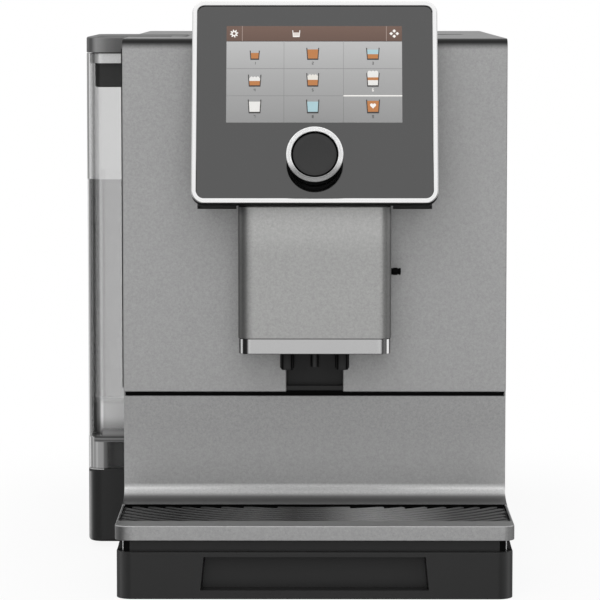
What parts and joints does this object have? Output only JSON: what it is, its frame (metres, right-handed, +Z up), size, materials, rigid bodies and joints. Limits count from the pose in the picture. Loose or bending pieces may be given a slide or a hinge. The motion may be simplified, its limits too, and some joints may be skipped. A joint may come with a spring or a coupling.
{
  "type": "bean to cup coffee machine",
  "caption": "Fully automatic countertop coffee machine with a tilted round-knob display, sliding spout, side water tank, pull-out drip drawer and bean grinder.",
  "frame": {"origin": "on the surface it stands on, under the middle of the machine's bounding box", "axes": "+Z up, -Y out of the front with the display and the spout, +X to the right as seen from the front"},
  "size_m": [0.279, 0.495, 0.3715],
  "materials": {
    "metallic_grey": "satin metallic grey paint on plastic",
    "dark_plastic": "fine matt",
    "gloss_black": "gloss",
    "chrome": "polished plating",
    "display_glass": "gloss glass with a lit picture",
    "clear_plastic": "clear",
    "lid_grey": "satin grey",
    "rubber": "matt",
    "steel": "plain",
    "white_plastic": "matt",
    "aluminium": "cast",
    "board_green": "solder mask",
    "silicone": "translucent"
  },
  "bodies": {
    "housing": {"chassis_base": "dark_plastic", "foot_front_left": "rubber", "foot_front_right": "rubber", "foot_rear_left": "rubber", "foot_rear_right": "rubber", "front_panel": "metallic_grey", "top_cover": "metallic_grey", "side_panel_left": "metallic_grey", "side_panel_right": "metallic_grey", "rear_panel": "dark_plastic", "drawer_bay": "dark_plastic", "spout_rail": "dark_plastic", "display_bracket": "dark_plastic", "display_housing": "dark_plastic", "display_rim": "chrome", "display_glass": "display_glass", "tank_base": "dark_plastic", "bean_hopper": "clear_plastic", "powder_chute": "dark_plastic", "grinder_shelf": "steel", "grinder_housing": "dark_plastic", "grinder_motor": "steel", "brew_frame": "dark_plastic", "brew_cylinder": "steel", "brew_motor": "steel", "water_pump": "steel", "flow_meter": "white_plastic", "thermoblock": "aluminium", "power_board": "board_green", "mains_inlet": "gloss_black", "suction_hose": "silicone", "pump_hose": "silicone", "pressure_hose": "silicone", "brew_hose": "silicone"},
    "drip_drawer": {"drip_tray": "dark_plastic", "drawer_front": "metallic_grey"},
    "drip_grille": {"drip_grille": "dark_plastic"},
    "grounds_container": {"grounds_container": "dark_plastic"},
    "spout": {"spout_cover": "metallic_grey", "spout_trim": "chrome", "spout_carriage": "dark_plastic", "nozzle_left": "gloss_black", "nozzle_right": "gloss_black", "milk_connector": "gloss_black"},
    "knob_plunger": {"knob_shaft": "steel"},
    "knob": {"knob_cap": "gloss_black", "knob_ring": "chrome"},
    "tank": {"water_tank": "clear_plastic", "tank_valve": "rubber"},
    "tank_lid": {"tank_lid": "lid_grey"},
    "hopper_lid": {"hopper_lid": "dark_plastic"},
    "chute_flap": {"chute_flap": "dark_plastic"},
    "service_cover": {"service_cover": "metallic_grey"},
    "mains_rocker": {"mains_rocker": "gloss_black"},
    "grind_adjuster": {"grind_adjuster": "white_plastic", "upper_burr": "steel"},
    "grinder_rotor": {"lower_burr": "steel"},
    "brew_piston": {"brew_piston": "white_plastic"},
    "brew_spindle": {"brew_spindle": "steel"},
    "flow_impeller": {"flow_impeller": "silicone"}
  },
  "joints": [
    {"name": "drip_drawer_slide", "type": "slide", "parent": "housing", "child": "drip_drawer", "axis": [0, -1, 0], "range_m": [0, 0.17]},
    {"name": "drip_grille_lift", "type": "slide", "parent": "drip_drawer", "child": "drip_grille", "axis": [0, 0, 1], "range_m": [0, 0.03]},
    {"name": "grounds_container_lift", "type": "slide", "parent": "drip_drawer", "child": "grounds_container", "axis": [0, 0, 1], "range_m": [0, 0.012]},
    {"name": "spout_height", "type": "slide", "parent": "housing", "child": "spout", "axis": [0, 0, 1], "range_m": [-0.012, 0.03]},
    {"name": "knob_press", "type": "slide", "parent": "housing", "child": "knob_plunger", "axis": [0, 0.9532, -0.3024], "range_m": [0, 0.0015], "stiffness_N_per_m": 800, "springref_m": -0.0015},
    {"name": "knob_turn", "type": "hinge", "parent": "knob_plunger", "child": "knob", "pos_m": [0.0145, -0.2026, 0.27582], "axis": [0, -0.9532, 0.3024], "continuous": true},
    {"name": "tank_lift", "type": "slide", "parent": "housing", "child": "tank", "axis": [0, 0, 1], "range_m": [0, 0.3]},
    {"name": "tank_lid_hinge", "type": "hinge", "parent": "tank", "child": "tank_lid", "pos_m": [-0.10725, 0.0898, 0.3469], "axis": [-1, 0, 0], "range_deg": [0, 80]},
    {"name": "hopper_lid_hinge", "type": "hinge", "parent": "housing", "child": "hopper_lid", "pos_m": [0.0025, 0.2009, 0.347], "axis": [-1, 0, 0], "range_deg": [0, 80]},
    {"name": "chute_flap_hinge", "type": "hinge", "parent": "housing", "child": "chute_flap", "pos_m": [0.1005, 0.0739, 0.347], "axis": [-1, 0, 0], "range_deg": [0, 80]},
    {"name": "service_cover_pull", "type": "slide", "parent": "housing", "child": "service_cover", "axis": [1, 0, 0], "range_m": [0, 0.04]},
    {"name": "mains_rocker_tilt", "type": "hinge", "parent": "housing", "child": "mains_rocker", "pos_m": [0.0736, 0.2418, 0.034], "axis": [-1, 0, 0], "range_deg": [0, 14]},
    {"name": "grind_setting", "type": "hinge", "parent": "housing", "child": "grind_adjuster", "pos_m": [0.0025, 0.1265, 0.2575], "axis": [0, 0, 1], "range_deg": [-25, 25]},
    {"name": "grinder_spin", "type": "hinge", "parent": "housing", "child": "grinder_rotor", "pos_m": [0.0025, 0.1265, 0.21], "axis": [0, 0, 1], "continuous": true},
    {"name": "brew_piston_slide", "type": "slide", "parent": "housing", "child": "brew_piston", "axis": [0, 0, -1], "range_m": [0, 0.03]},
    {"name": "brew_spindle_turn", "type": "hinge", "parent": "housing", "child": "brew_spindle", "pos_m": [0.0595, 0.0915, 0.1], "axis": [0, 0, 1], "range_deg": [0, 1440]},
    {"name": "flow_impeller_spin", "type": "hinge", "parent": "housing", "child": "flow_impeller", "pos_m": [-0.0475, 0.0565, 0.015], "axis": [0, 0, 1], "continuous": true}
  ],
  "couplings": [
    {"joint": "brew_spindle_turn", "follows": "brew_piston_slide", "rad_per_m": 837.76}
  ]
}
